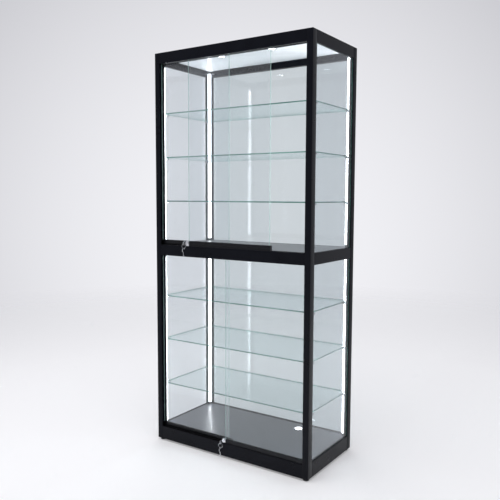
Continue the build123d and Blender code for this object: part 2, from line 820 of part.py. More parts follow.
def door_parts():
    """Both pairs of sliding doors, the upper right one standing half open."""
    left_door("lower", lower_right_glass_edge)
    left_door("upper", upper_right_glass_edge)
    right_door("lower", lower_right_glass_edge, 0.0)
    right_door("upper", upper_right_glass_edge, upper_right_door_opening)


os.makedirs("parts", exist_ok=True)
frame_parts()
panel_parts()
glass_parts()
light_parts()
track_parts()
door_parts()
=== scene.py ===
import json
import math

import bmesh
import bpy
from mathutils import Matrix, Vector


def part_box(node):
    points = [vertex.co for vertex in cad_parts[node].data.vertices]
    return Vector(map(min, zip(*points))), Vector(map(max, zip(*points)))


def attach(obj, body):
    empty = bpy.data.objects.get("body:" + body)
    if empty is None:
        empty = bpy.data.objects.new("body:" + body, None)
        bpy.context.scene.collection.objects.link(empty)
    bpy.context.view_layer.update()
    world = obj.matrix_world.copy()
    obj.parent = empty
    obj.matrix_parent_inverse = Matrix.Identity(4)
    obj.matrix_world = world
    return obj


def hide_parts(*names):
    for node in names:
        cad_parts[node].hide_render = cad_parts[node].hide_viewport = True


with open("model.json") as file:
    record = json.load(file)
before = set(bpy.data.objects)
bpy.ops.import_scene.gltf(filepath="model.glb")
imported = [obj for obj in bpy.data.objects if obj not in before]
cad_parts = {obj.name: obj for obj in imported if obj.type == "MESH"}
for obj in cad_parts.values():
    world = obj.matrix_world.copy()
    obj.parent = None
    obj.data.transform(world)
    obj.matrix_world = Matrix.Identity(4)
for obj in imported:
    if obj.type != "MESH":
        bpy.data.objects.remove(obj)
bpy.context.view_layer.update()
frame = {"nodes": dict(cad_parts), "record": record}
nodes = frame["nodes"]
bodies = frame["record"]["behaviour"]["bodies"]

# Levelling feet: four black rubber pads on short threaded stems, screwed up into the base frame.
# The pads are moulded, so their rims are rounded and their skin is dull and finely pitted.
foot_rim = 0.0012
rubber_colours = ((0.018, 0.018, 0.019, 1), (0.030, 0.030, 0.031, 1))
rubber_roughness = (0.6, 0.8)
rubber_dust_size = 0.012
rubber_pit_size = 0.0008
rubber_pit_depth = 0.00008
weld_distance = 1e-6
flat_within = math.radians(0.5)
smooth_within = math.radians(24)
rounded_from = math.radians(40)
noise_low = 0.3
noise_high = 0.7


def body_with(node):
    """The CAD body that a node belongs to."""
    return next(body for body, members in bodies.items() if node in members)


def merged_copy(node):
    """The node's surface as one joined mesh with flat faces in one piece."""
    work = bmesh.new()
    work.from_mesh(nodes[node].data)
    bmesh.ops.remove_doubles(work, verts=work.verts, dist=weld_distance)
    bmesh.ops.dissolve_limit(work, angle_limit=flat_within, verts=work.verts, edges=work.edges)
    bmesh.ops.recalc_face_normals(work, faces=work.faces)
    return work


def new_piece(name, work, *materials):
    """An object made from a finished bmesh, smooth except over its sharp edges."""
    mesh = bpy.data.meshes.new(name)
    work.to_mesh(mesh)
    work.free()
    for material in materials:
        mesh.materials.append(material)
    mesh.polygons.foreach_set("use_smooth", [True] * len(mesh.polygons))
    mesh.set_sharp_from_angle(angle=smooth_within)
    piece = bpy.data.objects.new(name, mesh)
    bpy.context.scene.collection.objects.link(piece)
    return piece


def soften(work, width, segments=2):
    """Rounds every sharp edge of a mesh by a small width."""
    sharp = [edge for edge in work.edges if edge.is_manifold and edge.calc_face_angle() > rounded_from]
    bmesh.ops.bevel(work, geom=sharp, offset=width, segments=segments, profile=0.5, affect="EDGES",
                    clamp_overlap=False)


def edged(node, name, slot, width, *materials):
    """A rounded copy of a CAD node that stands for it on the same body."""
    work = merged_copy(node)
    soften(work, width)
    piece = new_piece(name, work, *materials)
    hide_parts(node)
    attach(piece, body_with(node))
    return piece


def shader_of(name, colour, roughness=0.5, metallic=0.0):
    """A new material with its node tree and its main shader."""
    material = bpy.data.materials.new(name)
    material.use_nodes = True
    tree = material.node_tree
    shader = tree.nodes["Principled BSDF"]
    shader.inputs["Base Color"].default_value = colour
    shader.inputs["Roughness"].default_value = roughness
    shader.inputs["Metallic"].default_value = metallic
    return material, tree, shader


def grain(tree, size, stretch=(1, 1, 1), detail=3):
    """Noise fixed to the piece, whose lumps are about this size in metres."""
    place = tree.nodes.new("ShaderNodeTexCoord")
    mapping = tree.nodes.new("ShaderNodeMapping")
    mapping.inputs["Scale"].default_value = [part / size for part in stretch]
    noise = tree.nodes.new("ShaderNodeTexNoise")
    noise.inputs["Scale"].default_value = 1.0
    noise.inputs["Detail"].default_value = detail
    tree.links.new(place.outputs["Object"], mapping.inputs["Vector"])
    tree.links.new(mapping.outputs["Vector"], noise.inputs["Vector"])
    return noise.outputs["Fac"]


def spread(tree, value, low, high, start=noise_low, end=noise_high):
    """The value carried from start..end to low..high."""
    span = tree.nodes.new("ShaderNodeMapRange")
    span.inputs["From Min"].default_value = start
    span.inputs["From Max"].default_value = end
    span.inputs["To Min"].default_value = low
    span.inputs["To Max"].default_value = high
    tree.links.new(value, span.inputs["Value"])
    return span.outputs["Result"]


def blend_colours(tree, value, first, second, start=noise_low, end=noise_high):
    """A colour between two by the value."""
    mix = tree.nodes.new("ShaderNodeMix")
    mix.data_type = "RGBA"
    near, far = [socket for socket in mix.inputs if socket.type == "RGBA"]
    near.default_value = first
    far.default_value = second
    tree.links.new(spread(tree, value, 0, 1, start, end), mix.inputs["Factor"])
    return next(socket for socket in mix.outputs if socket.type == "RGBA")


def relief(tree, shader, value, height, strength=1.0):
    """Raises and lowers the surface by the value."""
    bump = tree.nodes.new("ShaderNodeBump")
    bump.inputs["Strength"].default_value = strength
    bump.inputs["Distance"].default_value = height
    tree.links.new(value, bump.inputs["Height"])
    tree.links.new(bump.outputs["Normal"], shader.inputs["Normal"])


def clouded(name, colours, roughness, cloud_size, detail=3):
    """A material whose colour and roughness drift together over clouds of this size."""
    material, tree, shader = shader_of(name, colours[0])
    clouds = grain(tree, cloud_size, detail=detail)
    tree.links.new(blend_colours(tree, clouds, *colours), shader.inputs["Base Color"])
    tree.links.new(spread(tree, clouds, *roughness), shader.inputs["Roughness"])
    return material, tree, shader


def moulded_rubber():
    """Dull black rubber with pits and a little dust."""
    material, tree, shader = clouded("moulded_rubber", rubber_colours, rubber_roughness, rubber_dust_size)
    relief(tree, shader, grain(tree, rubber_pit_size), rubber_pit_depth)
    return material


edged("levelling_feet", "levelling_foot_pads", "foot_rubber", foot_rim, moulded_rubber())

# Frame: extruded aluminium posts with rails butted between them, powder coated in a fine satin black.
# The coat has a faint orange peel, and its depth of colour drifts a little along each length.
frame_edge = 0.0008
coat_colours = ((0.0014, 0.0020, 0.0048, 1), (0.0026, 0.0034, 0.0070, 1))
coat_roughness = (0.26, 0.35)
coat_cloud_size = 0.06
coat_peel_size = 0.0014
coat_peel_depth = 0.00001
coat_peel_strength = 0.3
coat_sheen = 0.13
post_nodes = ("front_posts", "rear_posts")
rail_levels = ("base", "mid", "top")
rail_kinds = ("front_rail", "rear_rail", "side_rails")


def powder_coat(name, colours, roughness):
    """Satin black powder coat over aluminium."""
    material, tree, shader = clouded(name, colours, roughness, coat_cloud_size, 4)
    relief(tree, shader, grain(tree, coat_peel_size, detail=2), coat_peel_depth, coat_peel_strength)
    shader.inputs["Specular IOR Level"].default_value = coat_sheen
    return material


frame_coat = powder_coat("satin_black_powder_coat", coat_colours, coat_roughness)
for node in post_nodes:
    edged(node, node + "_extrusion", "frame_black", frame_edge, frame_coat)
for level in rail_levels:
    for kind in rail_kinds:
        node = level + "_" + kind
        edged(node, node + "_extrusion", "frame_black", frame_edge, frame_coat)

# Decks: 18 mm boards faced in dark grey laminate with a satin sheen, dropped between the rails.
# The face has a fine pressed grain under a thin lacquer, which draws out the lights above it.
deck_edge = 0.0006
deck_colours = ((0.016, 0.020, 0.028, 1), (0.020, 0.024, 0.033, 1))
deck_roughness = (0.35, 0.40)
deck_cloud_size = 0.09
deck_sheen_size = 0.004
deck_grain_size = 0.0011
deck_grain_depth = 0.000004
deck_grain_strength = 0.2
deck_gloss = 0.9
deck_lacquer = 0.6
deck_lacquer_roughness = 0.3


def pressed_laminate():
    """Dark grey laminate with a fine pressed texture under lacquer."""
    material, tree, shader = shader_of("dark_grey_laminate", deck_colours[0])
    clouds = grain(tree, deck_cloud_size, detail=5)
    tree.links.new(blend_colours(tree, clouds, *deck_colours), shader.inputs["Base Color"])
    tree.links.new(spread(tree, grain(tree, deck_sheen_size), *deck_roughness), shader.inputs["Roughness"])
    relief(tree, shader, grain(tree, deck_grain_size, detail=1), deck_grain_depth, deck_grain_strength)
    shader.inputs["Specular IOR Level"].default_value = deck_gloss
    shader.inputs["Coat Weight"].default_value = deck_lacquer
    shader.inputs["Coat Roughness"].default_value = deck_lacquer_roughness
    return material


laminate = pressed_laminate()
for node in ("base_deck", "mid_deck"):
    edged(node, node + "_board", "deck_grey", deck_edge, laminate)

# Ceiling and roof: folded aluminium sheet, the ceiling stoved in gloss white to throw the light down.
# The roof sheet above it is black and closes the space that holds the wiring.
ceiling_edge = 0.0004
ceiling_colours = ((0.86, 0.86, 0.89, 1), (0.89, 0.89, 0.92, 1))
ceiling_roughness = (0.18, 0.28)
ceiling_cloud_size = 0.12
enamel_peel_size = 0.002
enamel_peel_depth = 0.00001
enamel_peel_strength = 0.2
roof_edge = 0.0005
roof_colours = ((0.0120, 0.0125, 0.0150, 1), (0.0180, 0.0185, 0.0220, 1))
roof_roughness = (0.38, 0.47)


def stoved_white():
    """White stoved enamel with a soft gloss."""
    material, tree, shader = clouded("white_stoved_enamel", ceiling_colours, ceiling_roughness,
                                     ceiling_cloud_size, 4)
    relief(tree, shader, grain(tree, enamel_peel_size, detail=2), enamel_peel_depth, enamel_peel_strength)
    return material


edged("ceiling_panel", "ceiling_sheet", "ceiling_white", ceiling_edge, stoved_white())
edged("roof_panel", "roof_sheet", "roof_black", roof_edge,
      powder_coat("roof_powder_coat", roof_colours, roof_roughness))

# Fixed glass: 5 mm toughened panes with ground edges, set in grooves of the posts and rails.
# A face shows what is behind it and mirrors more at a glance, and the ground edges look green.
# The rear panes are a little darker than the rest.
glass_arris = 0.0005
glass_index = 1.5
side_tint = (0.930, 0.945, 0.955, 1)
rear_tint = (0.850, 0.880, 0.885, 1)
smear_size = 0.18
smear_stretch = (1, 1, 0.4)
smear_darkening = 0.992
mirror_colour = (0.97, 0.99, 1, 1)
mirror_roughness = (0.0, 0.025)
film_colour = (0.90, 0.93, 0.95, 1)
film_share = (0.0091, 0.0169)
edge_colours = ((0.035, 0.13, 0.105, 1), (0.16, 0.36, 0.31, 1))
edge_clearness = (0.10, 0.20)
edge_clear_colour = (0.80, 0.95, 0.92, 1)
edge_streak_size = 0.25
edge_sheen_size = 0.002
edge_roughness = (0.08, 0.25)
edge_coat = 0.3
broad_face_squareness = 0.99


def mixed(tree, share, first, second):
    """The first shader, with this share of the second."""
    join = tree.nodes.new("ShaderNodeMixShader")
    tree.links.new(share, join.inputs["Fac"])
    tree.links.new(first, join.inputs[1])
    tree.links.new(second, join.inputs[2])
    return join.outputs["Shader"]


def clear_glass(name, tint):
    """Flat glass: clear with a faint tint, mirroring by the angle, with light smears."""
    material, tree, shader = shader_of(name, tint)
    tree.nodes.remove(shader)
    through = tree.nodes.new("ShaderNodeBsdfTransparent")
    smears = grain(tree, smear_size, smear_stretch, 4)
    deeper = [part * smear_darkening for part in tint[:3]] + [1]
    tree.links.new(blend_colours(tree, smears, tint, deeper), through.inputs["Color"])
    mirror = tree.nodes.new("ShaderNodeBsdfGlossy")
    mirror.inputs["Color"].default_value = mirror_colour
    tree.links.new(spread(tree, smears, *mirror_roughness), mirror.inputs["Roughness"])
    side = tree.nodes.new("ShaderNodeNewGeometry")
    fresnel = tree.nodes.new("ShaderNodeFresnel")
    index = spread(tree, side.outputs["Backfacing"], glass_index, 1 / glass_index, 0, 1)
    tree.links.new(index, fresnel.inputs["IOR"])
    film = tree.nodes.new("ShaderNodeBsdfDiffuse")
    film.inputs["Color"].default_value = film_colour
    filmed = mixed(tree, spread(tree, smears, *film_share), through.outputs["BSDF"], film.outputs["BSDF"])
    both = mixed(tree, fresnel.outputs["Fac"], filmed, mirror.outputs["BSDF"])
    tree.links.new(both, tree.nodes["Material Output"].inputs["Surface"])
    return material


def ground_edge(name, colours, clearness):
    """Polished green edge of a glass pane, with long soft streaks."""
    material, tree, shader = shader_of(name, colours[0])
    streaks = grain(tree, edge_streak_size)
    tree.links.new(blend_colours(tree, streaks, *colours), shader.inputs["Base Color"])
    tree.links.new(spread(tree, grain(tree, edge_sheen_size), *edge_roughness), shader.inputs["Roughness"])
    shader.inputs["Coat Weight"].default_value = edge_coat
    clear = tree.nodes.new("ShaderNodeBsdfTransparent")
    clear.inputs["Color"].default_value = edge_clear_colour
    both = mixed(tree, spread(tree, streaks, *clearness), shader.outputs["BSDF"], clear.outputs["BSDF"])
    tree.links.new(both, tree.nodes["Material Output"].inputs["Surface"])
    return material


side_glass = clear_glass("clear_side_glass", side_tint)
rear_glass = clear_glass("faint_grey_rear_glass", rear_tint)
pane_edge = ground_edge("green_pane_edge", edge_colours, edge_clearness)


def glass_piece(node, name, slot, axis, face, edge):
    """A pane whose broad faces are clear and whose narrow faces are ground."""
    piece = edged(node, name, slot, glass_arris, face, edge)
    for polygon in piece.data.polygons:
        polygon.material_index = 0 if abs(polygon.normal[axis]) > broad_face_squareness else 1
    return piece


for tier in ("lower", "upper"):
    glass_piece(tier + "_side_panes", tier + "_side_glass", "pane_glass", 0, side_glass, pane_edge)
    glass_piece(tier + "_rear_pane", tier + "_rear_glass", "pane_glass", 1, rear_glass, pane_edge)

# Light strips: aluminium channels across the corners, each with a white board of diodes under a cover.
# The channels are clear anodised, and each end has a black moulded cap that holds the cover.
strip_half = 0.009
strip_height = 0.007
strip_floor = 0.0015
channel_wall_rise = 0.0024
cover_wall = 0.0010
cover_crown = 0.0012
front_wedge = 0.014
board_half = 0.005
board_thickness = 0.0008
diode_size = (0.0016, 0.005, 0.005)
diode_pitch = 1 / 60
crown_steps = 8
frame_middle = sum(corner.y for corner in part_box("mid_side_rails")) / 2
channel_colour = (0.62, 0.63, 0.65, 1)
channel_roughness = (0.24, 0.42)
bare_metal_share = 1.0
lines_along_z = (1, 1, 0.04)
draw_line_size = 0.0016
draw_line_depth = 0.000005
draw_line_strength = 0.4
light_colour = (0.96, 0.975, 1.0, 1)
cover_colour = (0.90, 0.92, 0.95, 1)
cover_glow = (3.04, 3.36)
cover_clearness = (0.32, 0.38)
cover_flow_size = 0.02
lit_roughness = 0.3
board_colour = (0.80, 0.80, 0.78, 1)
board_roughness = (0.35, 0.50)
board_grain_size = 0.004
diode_colour = (0.90, 0.88, 0.75, 1)
diode_glow = (120.0, 150.0)
diode_face_size = 0.002
cap_edge = 0.0004
plastic_colours = ((0.018, 0.018, 0.020, 1), (0.030, 0.030, 0.033, 1))
plastic_roughness = (0.39, 0.53)
plastic_cloud_size = 0.01
plastic_spark_size = 0.0006
plastic_spark_depth = 0.00004
plastic_spark_strength = 0.5


def anodised(name, colour, roughness, metallic, along):
    """Anodised extrusion with fine draw lines along its length."""
    material, tree, shader = shader_of(name, colour, metallic=metallic)
    lines = grain(tree, draw_line_size, along, 4)
    tree.links.new(spread(tree, lines, *roughness), shader.inputs["Roughness"])
    relief(tree, shader, lines, draw_line_depth, draw_line_strength)
    return material


def glowing_cover():
    """Milky cover that glows and lets the diodes show faintly."""
    material, tree, shader = shader_of("milky_light_cover", cover_colour, lit_roughness)
    shader.inputs["Emission Color"].default_value = light_colour
    flow = grain(tree, cover_flow_size)
    tree.links.new(spread(tree, flow, *cover_glow), shader.inputs["Emission Strength"])
    clear = tree.nodes.new("ShaderNodeBsdfTransparent")
    both = mixed(tree, spread(tree, flow, *cover_clearness), shader.outputs["BSDF"], clear.outputs["BSDF"])
    tree.links.new(both, tree.nodes["Material Output"].inputs["Surface"])
    return material


def diode_board():
    """White printed board."""
    material, tree, shader = shader_of("white_diode_board", board_colour)
    tree.links.new(spread(tree, grain(tree, board_grain_size), *board_roughness), shader.inputs["Roughness"])
    return material


def lit_diode():
    """Diode package whose face gives the light."""
    material, tree, shader = shader_of("lit_diode", diode_colour, lit_roughness)
    shader.inputs["Emission Color"].default_value = light_colour
    face = grain(tree, diode_face_size)
    tree.links.new(spread(tree, face, *diode_glow), shader.inputs["Emission Strength"])
    material.cycles.emission_sampling = "NONE"
    return material


def solids_in(node):
    """The lowest and highest corner of each separate solid of a node."""
    work = merged_copy(node)
    left = set(work.verts)
    boxes = []
    while left:
        island = [left.pop()]
        for vert in island:
            for edge in vert.link_edges:
                other = edge.other_vert(vert)
                if other in left:
                    left.discard(other)
                    island.append(other)
        low = Vector([min(vert.co[k] for vert in island) for k in range(3)])
        high = Vector([max(vert.co[k] for vert in island) for k in range(3)])
        boxes.append((low, high))
    work.free()
    return boxes


def strip_places():
    """Seat, outward turn, lowest and highest level of each strip's lit part, from the CAD diffusers."""
    places = []
    for low, high in solids_in("light_strip_diffusers"):
        middle = (low + high) / 2
        turn = math.atan2(1 if middle.y < frame_middle else -1, -1 if middle.x > 0 else 1)
        out = Vector((math.cos(turn), math.sin(turn), 0))
        seat = Vector((middle.x, middle.y, 0)) - out * (strip_floor + strip_height) / 2
        places.append((seat, turn, low.z, high.z))
    return sorted(places, key=lambda place: (place[0].x, place[0].y, place[2]))


def upright_section(work, outline, seat, turn, low, high):
    """Draws a plan outline of the strip, out from its seat and across it, up between two levels."""
    frame_turn = Matrix.Rotation(turn, 4, "Z")
    rings = []
    for level in (low, high):
        rings.append([work.verts.new(seat + frame_turn @ Vector((out, across, 0)) + Vector((0, 0, level)))
                      for out, across in outline])
    count = len(outline)
    work.faces.new(rings[0][::-1])
    work.faces.new(rings[1])
    for k in range(count):
        work.faces.new((rings[0][k], rings[0][(k + 1) % count], rings[1][(k + 1) % count], rings[1][k]))


def channel_outline(front):
    """The channel's floor and its two low walls, with the wedge behind a front one."""
    rim = strip_floor + channel_wall_rise
    inner = strip_half - strip_floor
    back = [(0, strip_half), (0, -strip_half)]
    if front:
        half = front_wedge / math.sqrt(2)
        back = [(0, strip_half), (0, half), (-half, 0), (0, -half), (0, -strip_half)]
    return back + [(rim, -strip_half), (rim, -inner), (strip_floor, -inner),
                   (strip_floor, inner), (rim, inner), (rim, strip_half)]


def cover_outline():
    """The cover's bent section: legs over the walls and a low crown."""
    rim = strip_floor + channel_wall_rise
    crown = []
    for step in range(crown_steps + 1):
        across = strip_half * (2 * step / crown_steps - 1)
        crown.append((strip_height + cover_crown * math.cos(math.pi / 2 * across / strip_half), across))
    inner = [(out - cover_wall, across * (1 - cover_wall / strip_half)) for out, across in reversed(crown)]
    return [(rim, -strip_half)] + crown + [(rim, strip_half), (rim, strip_half - cover_wall)] + inner + [
        (rim, cover_wall - strip_half)]


strips = strip_places()
channels = bmesh.new()
covers = bmesh.new()
boards = bmesh.new()
for seat, turn, low, high in strips:
    upright_section(channels, channel_outline(seat.y < frame_middle), seat, turn, low, high)
    upright_section(covers, cover_outline(), seat, turn, low, high)
    board = [(strip_floor, -board_half), (strip_floor + board_thickness, -board_half),
             (strip_floor + board_thickness, board_half), (strip_floor, board_half)]
    upright_section(boards, board, seat, turn, low, high)
for work in (channels, covers, boards):
    bmesh.ops.recalc_face_normals(work, faces=work.faces)
channel_metal = anodised("clear_anodised_channel", channel_colour, channel_roughness, bare_metal_share,
                         lines_along_z)
channel_piece = new_piece("light_strip_extrusions", channels, channel_metal)
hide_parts("light_strip_channels")
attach(channel_piece, "cabinet")
cover_piece = new_piece("light_strip_covers", covers, glowing_cover())
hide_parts("light_strip_diffusers")
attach(cover_piece, "cabinet")
board_piece = new_piece("light_strip_boards", boards, diode_board())
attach(board_piece, "cabinet")


def socket_in(tree, name, kind, value):
    """A named input of a geometry tree."""
    socket = tree.interface.new_socket(name, in_out="INPUT", socket_type=kind)
    if value is not None:
        socket.default_value = value
    return socket


def diode_row_tree():
    """Geometry nodes that stand diodes in a straight row, one pitch apart."""
    tree = bpy.data.node_groups.new("diode_row", "GeometryNodeTree")
    tree.interface.new_socket("Geometry", in_out="OUTPUT", socket_type="NodeSocketGeometry")
    socket_in(tree, "Start", "NodeSocketVector", (0, 0, 0))
    socket_in(tree, "Count", "NodeSocketInt", 2)
    socket_in(tree, "Pitch", "NodeSocketFloat", diode_pitch)
    socket_in(tree, "Turn", "NodeSocketFloat", 0.0)
    socket_in(tree, "Size", "NodeSocketVector", diode_size)
    socket_in(tree, "Finish", "NodeSocketMaterial", None)
    given = tree.nodes.new("NodeGroupInput").outputs
    step = tree.nodes.new("ShaderNodeCombineXYZ")
    tree.links.new(given["Pitch"], step.inputs["Z"])
    row = tree.nodes.new("GeometryNodeMeshLine")
    tree.links.new(given["Count"], row.inputs["Count"])
    tree.links.new(given["Start"], row.inputs["Start Location"])
    tree.links.new(step.outputs["Vector"], row.inputs["Offset"])
    package = tree.nodes.new("GeometryNodeMeshCube")
    tree.links.new(given["Size"], package.inputs["Size"])
    angle = tree.nodes.new("ShaderNodeCombineXYZ")
    tree.links.new(given["Turn"], angle.inputs["Z"])
    stand = tree.nodes.new("GeometryNodeInstanceOnPoints")
    tree.links.new(row.outputs["Mesh"], stand.inputs["Points"])
    tree.links.new(package.outputs["Mesh"], stand.inputs["Instance"])
    tree.links.new(angle.outputs["Vector"], stand.inputs["Rotation"])
    real = tree.nodes.new("GeometryNodeRealizeInstances")
    tree.links.new(stand.outputs["Instances"], real.inputs["Geometry"])
    coat = tree.nodes.new("GeometryNodeSetMaterial")
    tree.links.new(real.outputs["Geometry"], coat.inputs["Geometry"])
    tree.links.new(given["Finish"], coat.inputs["Material"])
    tree.links.new(coat.outputs["Geometry"], tree.nodes.new("NodeGroupOutput").inputs["Geometry"])
    return tree


def grown_mesh(tree, values, start_mesh=None):
    """The mesh that a geometry tree makes with these inputs, from a mesh or from nothing."""
    host = bpy.data.objects.new("host", start_mesh or bpy.data.meshes.new("host"))
    bpy.context.scene.collection.objects.link(host)
    grower = host.modifiers.new("grower", "NODES")
    grower.node_group = tree
    for item in tree.interface.items_tree:
        if item.in_out == "INPUT" and item.name in values and item.socket_type != "NodeSocketGeometry":
            grower[item.identifier] = values[item.name]
    graph = bpy.context.evaluated_depsgraph_get()
    mesh = bpy.data.meshes.new_from_object(host.evaluated_get(graph), depsgraph=graph)
    host.modifiers.remove(grower)
    bpy.data.objects.remove(host)
    return mesh


diode_finish = lit_diode()
diode_tree = diode_row_tree()
diodes = bmesh.new()
for seat, turn, low, high in strips:
    out = Vector((math.cos(turn), math.sin(turn), 0)) * (strip_floor + board_thickness + diode_size[0] / 2)
    count = int((high - low) / diode_pitch)
    margin = (high - low - (count - 1) * diode_pitch) / 2
    start = seat + out + Vector((0, 0, low + margin))
    row_mesh = grown_mesh(diode_tree, {"Start": start, "Count": count, "Pitch": diode_pitch, "Turn": turn,
                                       "Size": diode_size, "Finish": diode_finish})
    diodes.from_mesh(row_mesh)
    bpy.data.meshes.remove(row_mesh)
diode_piece = new_piece("light_strip_diodes", diodes, diode_finish)
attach(diode_piece, "cabinet")


def moulded_plastic(name, colours, roughness):
    """Moulded plastic with a fine spark finish."""
    material, tree, shader = clouded(name, colours, roughness, plastic_cloud_size)
    sparks = grain(tree, plastic_spark_size, detail=2)
    relief(tree, shader, sparks, plastic_spark_depth, plastic_spark_strength)
    return material


black_plastic = moulded_plastic("moulded_black_plastic", plastic_colours, plastic_roughness)
edged("light_strip_end_caps", "light_strip_end_mouldings", "black_plastic", cap_edge, black_plastic)

# Shelves: 6 mm clear glass with polished edges and cut corners, three in each tier.
# Each lies loose on four clips, which are fixed to the light channels at the corners.
shelf_tint = (0.930, 0.965, 0.960, 1)
shelf_counts = (1, 2, 3)
clip_edge = 0.0006
clip_colour = (0.50, 0.51, 0.53, 1)
clip_roughness = (0.27, 0.47)
clip_lines = (0.05, 1, 1)
brush_line_size = 0.0009
brush_line_depth = 0.00002
brush_line_strength = 0.5
shelf_glass = clear_glass("clear_shelf_glass", shelf_tint)
shelf_edge = ground_edge("green_shelf_edge", edge_colours, edge_clearness)
for tier in ("lower", "upper"):
    for count in shelf_counts:
        glass_piece(tier + "_shelf_" + str(count), tier + "_glass_shelf_" + str(count), "shelf_glass", 2,
                    shelf_glass, shelf_edge)


def brushed_steel(name, colour, roughness, along):
    """Brushed metal with fine lines one way."""
    material, tree, shader = shader_of(name, colour, metallic=bare_metal_share)
    lines = grain(tree, brush_line_size, along, 4)
    tree.links.new(spread(tree, lines, *roughness), shader.inputs["Roughness"])
    relief(tree, shader, lines, brush_line_depth, brush_line_strength)
    return material


clip_steel = brushed_steel("brushed_clip_steel", clip_colour, clip_roughness, clip_lines)
edged("shelf_clips", "shelf_corner_clips", "clip_metal", clip_edge, clip_steel)

# Lamps: two in the ceiling and one in the base deck, each a chromed ring with a frosted lens.
# A driver above the ceiling sheet feeds them, and takes its current from an inlet in the base rail.
lamp_ring_edge = 0.0004
driver_edge = 0.0008
inlet_edge = 0.0005
lens_colour = (0.90, 0.92, 0.95, 1)
lens_glow = (10.8, 13.2)
frost_size = 0.0015
frost_depth = 0.00004
frost_strength = 0.4
chrome_colour = (0.86, 0.87, 0.89, 1)
chrome_roughness = (0.07, 0.22)
chrome_mark_size = 0.004
chrome_wave_size = 0.003
chrome_wave_depth = 0.00002
chrome_wave_strength = 0.3


def polished_chrome():
    """Bright chrome with fine handling marks."""
    material, tree, shader = shader_of("polished_chrome", chrome_colour, metallic=bare_metal_share)
    marks = grain(tree, chrome_mark_size, detail=5)
    tree.links.new(spread(tree, marks, *chrome_roughness), shader.inputs["Roughness"])
    relief(tree, shader, grain(tree, chrome_wave_size), chrome_wave_depth, chrome_wave_strength)
    return material


def frosted_lens():
    """Frosted lens that glows, with a faintly uneven frost."""
    material, tree, shader = shader_of("frosted_lamp_lens", lens_colour, lit_roughness)
    frost = grain(tree, frost_size)
    shader.inputs["Emission Color"].default_value = light_colour
    tree.links.new(spread(tree, frost, *lens_glow), shader.inputs["Emission Strength"])
    relief(tree, shader, frost, frost_depth, frost_strength)
    return material


chrome = polished_chrome()
edged("lamp_rings", "chromed_lamp_rings", "chrome", lamp_ring_edge, chrome)
lens = frosted_lens()
nodes["lamp_lenses"].data.materials.clear()
nodes["lamp_lenses"].data.materials.append(lens)
edged("light_driver", "light_driver_case", "black_plastic", driver_edge, black_plastic)
edged("power_inlet", "power_inlet_moulding", "black_plastic", inlet_edge, black_plastic)

# Tracks: black anodised double channels, let into the front rails above and below the doors.
# The doors stand in the lower ones on their glides and run between the walls of the upper ones.
track_edge = 0.0003
track_colour = (0.012, 0.012, 0.014, 1)
black_metal_roughness = (0.22, 0.40)
black_metal_share = 0.6
lines_along_x = (0.04, 1, 1)
track_metal = anodised("black_anodised_track", track_colour, black_metal_roughness, black_metal_share,
                       lines_along_x)
edged("door_bottom_tracks", "lower_door_channels", "track_black", track_edge, track_metal)
edged("door_top_tracks", "upper_door_channels", "track_black", track_edge, track_metal)

# Doors: 5 mm glass in a black anodised shoe with moulded ends, which runs on two nylon glides.
# The left doors run behind the right ones, and the glass stands in the slot of the shoe.
door_tint = (0.965, 0.975, 0.980, 1)
# The door edges are painted paler than the pane and shelf edges of the same glass, a painted highlight for
# the light they catch.
door_edge_highlight_colours = ((0.30, 0.50, 0.45, 1), (0.60, 0.78, 0.74, 1))
door_edge_clearness = (0.50, 0.60)
shoe_edge = 0.0005
shoe_colour = (0.0100, 0.0105, 0.0130, 1)
glide_edge = 0.0003
door_glass = clear_glass("clear_door_glass", door_tint)
# This edge material carries that painted highlight in its pale colours.
door_edge = ground_edge("door_edge_with_painted_highlight", door_edge_highlight_colours, door_edge_clearness)
shoe_metal = anodised("black_anodised_shoe", shoe_colour, black_metal_roughness, black_metal_share,
                      lines_along_x)
for tier in ("lower", "upper"):
    for side in ("left", "right"):
        door = tier + "_" + side + "_door_"
        glass_piece(door + "glass", door + "pane", "pane_glass", 1, door_glass, door_edge)
        edged(door + "shoe", door + "rail", "shoe_black", shoe_edge, shoe_metal)
        edged(door + "glides", door + "runners", "black_plastic", glide_edge, black_plastic)

# Locks: a die-cast chromed block at the free end of each right door, with a turned barrel and plug.
# The key in the plug carries a split ring of two wire turns, and the spare key hangs from that.
key_bow_radius = 0.011
key_hole_radius = 0.0035
key_hole_from_edge = 0.005
key_thickness = 0.002
key_rim = 0.0002
key_shoulder_half = 0.004
key_blade_half = 0.0035
key_cuts = (0.0012, 0.0020, 0.0008, 0.0016, 0.0010)
key_cut_share = 0.2
key_tip = 0.002
key_tip_flat = 0.0005
lock_edge = 0.0004
bolt_edge = 0.0002
plug_radius = 0.005
plug_length = 0.010
plug_rim = 0.0003
plug_dish_radius = 0.0034
plug_dish_depth = 0.0002
key_enters = 0.0015
ring_wire = 0.00042
ring_turns = 2
ring_steps = 48
ring_sides = 8
ring_start = 0.4
ring_crossing_steps = 12
ring_turn_spacing = 1.04
arc_steps = 40


def turned(work, profile, place):
    """A turned piece about the Y axis: each pair is a radius and how far along Y it lies."""
    rings = []
    for radius, along in profile:
        if radius == 0:
            rings.append([work.verts.new(place + Vector((0, along, 0)))])
            continue
        rings.append([work.verts.new(place + Vector((radius * math.cos(a), along, radius * math.sin(a))))
                      for a in (2 * math.pi * k / arc_steps for k in range(arc_steps))])
    for first, second in zip(rings, rings[1:]):
        for k in range(arc_steps):
            corners = [first[k % len(first)], first[(k + 1) % len(first)],
                       second[(k + 1) % len(second)], second[k % len(second)]]
            work.faces.new(list(dict.fromkeys(corners)))


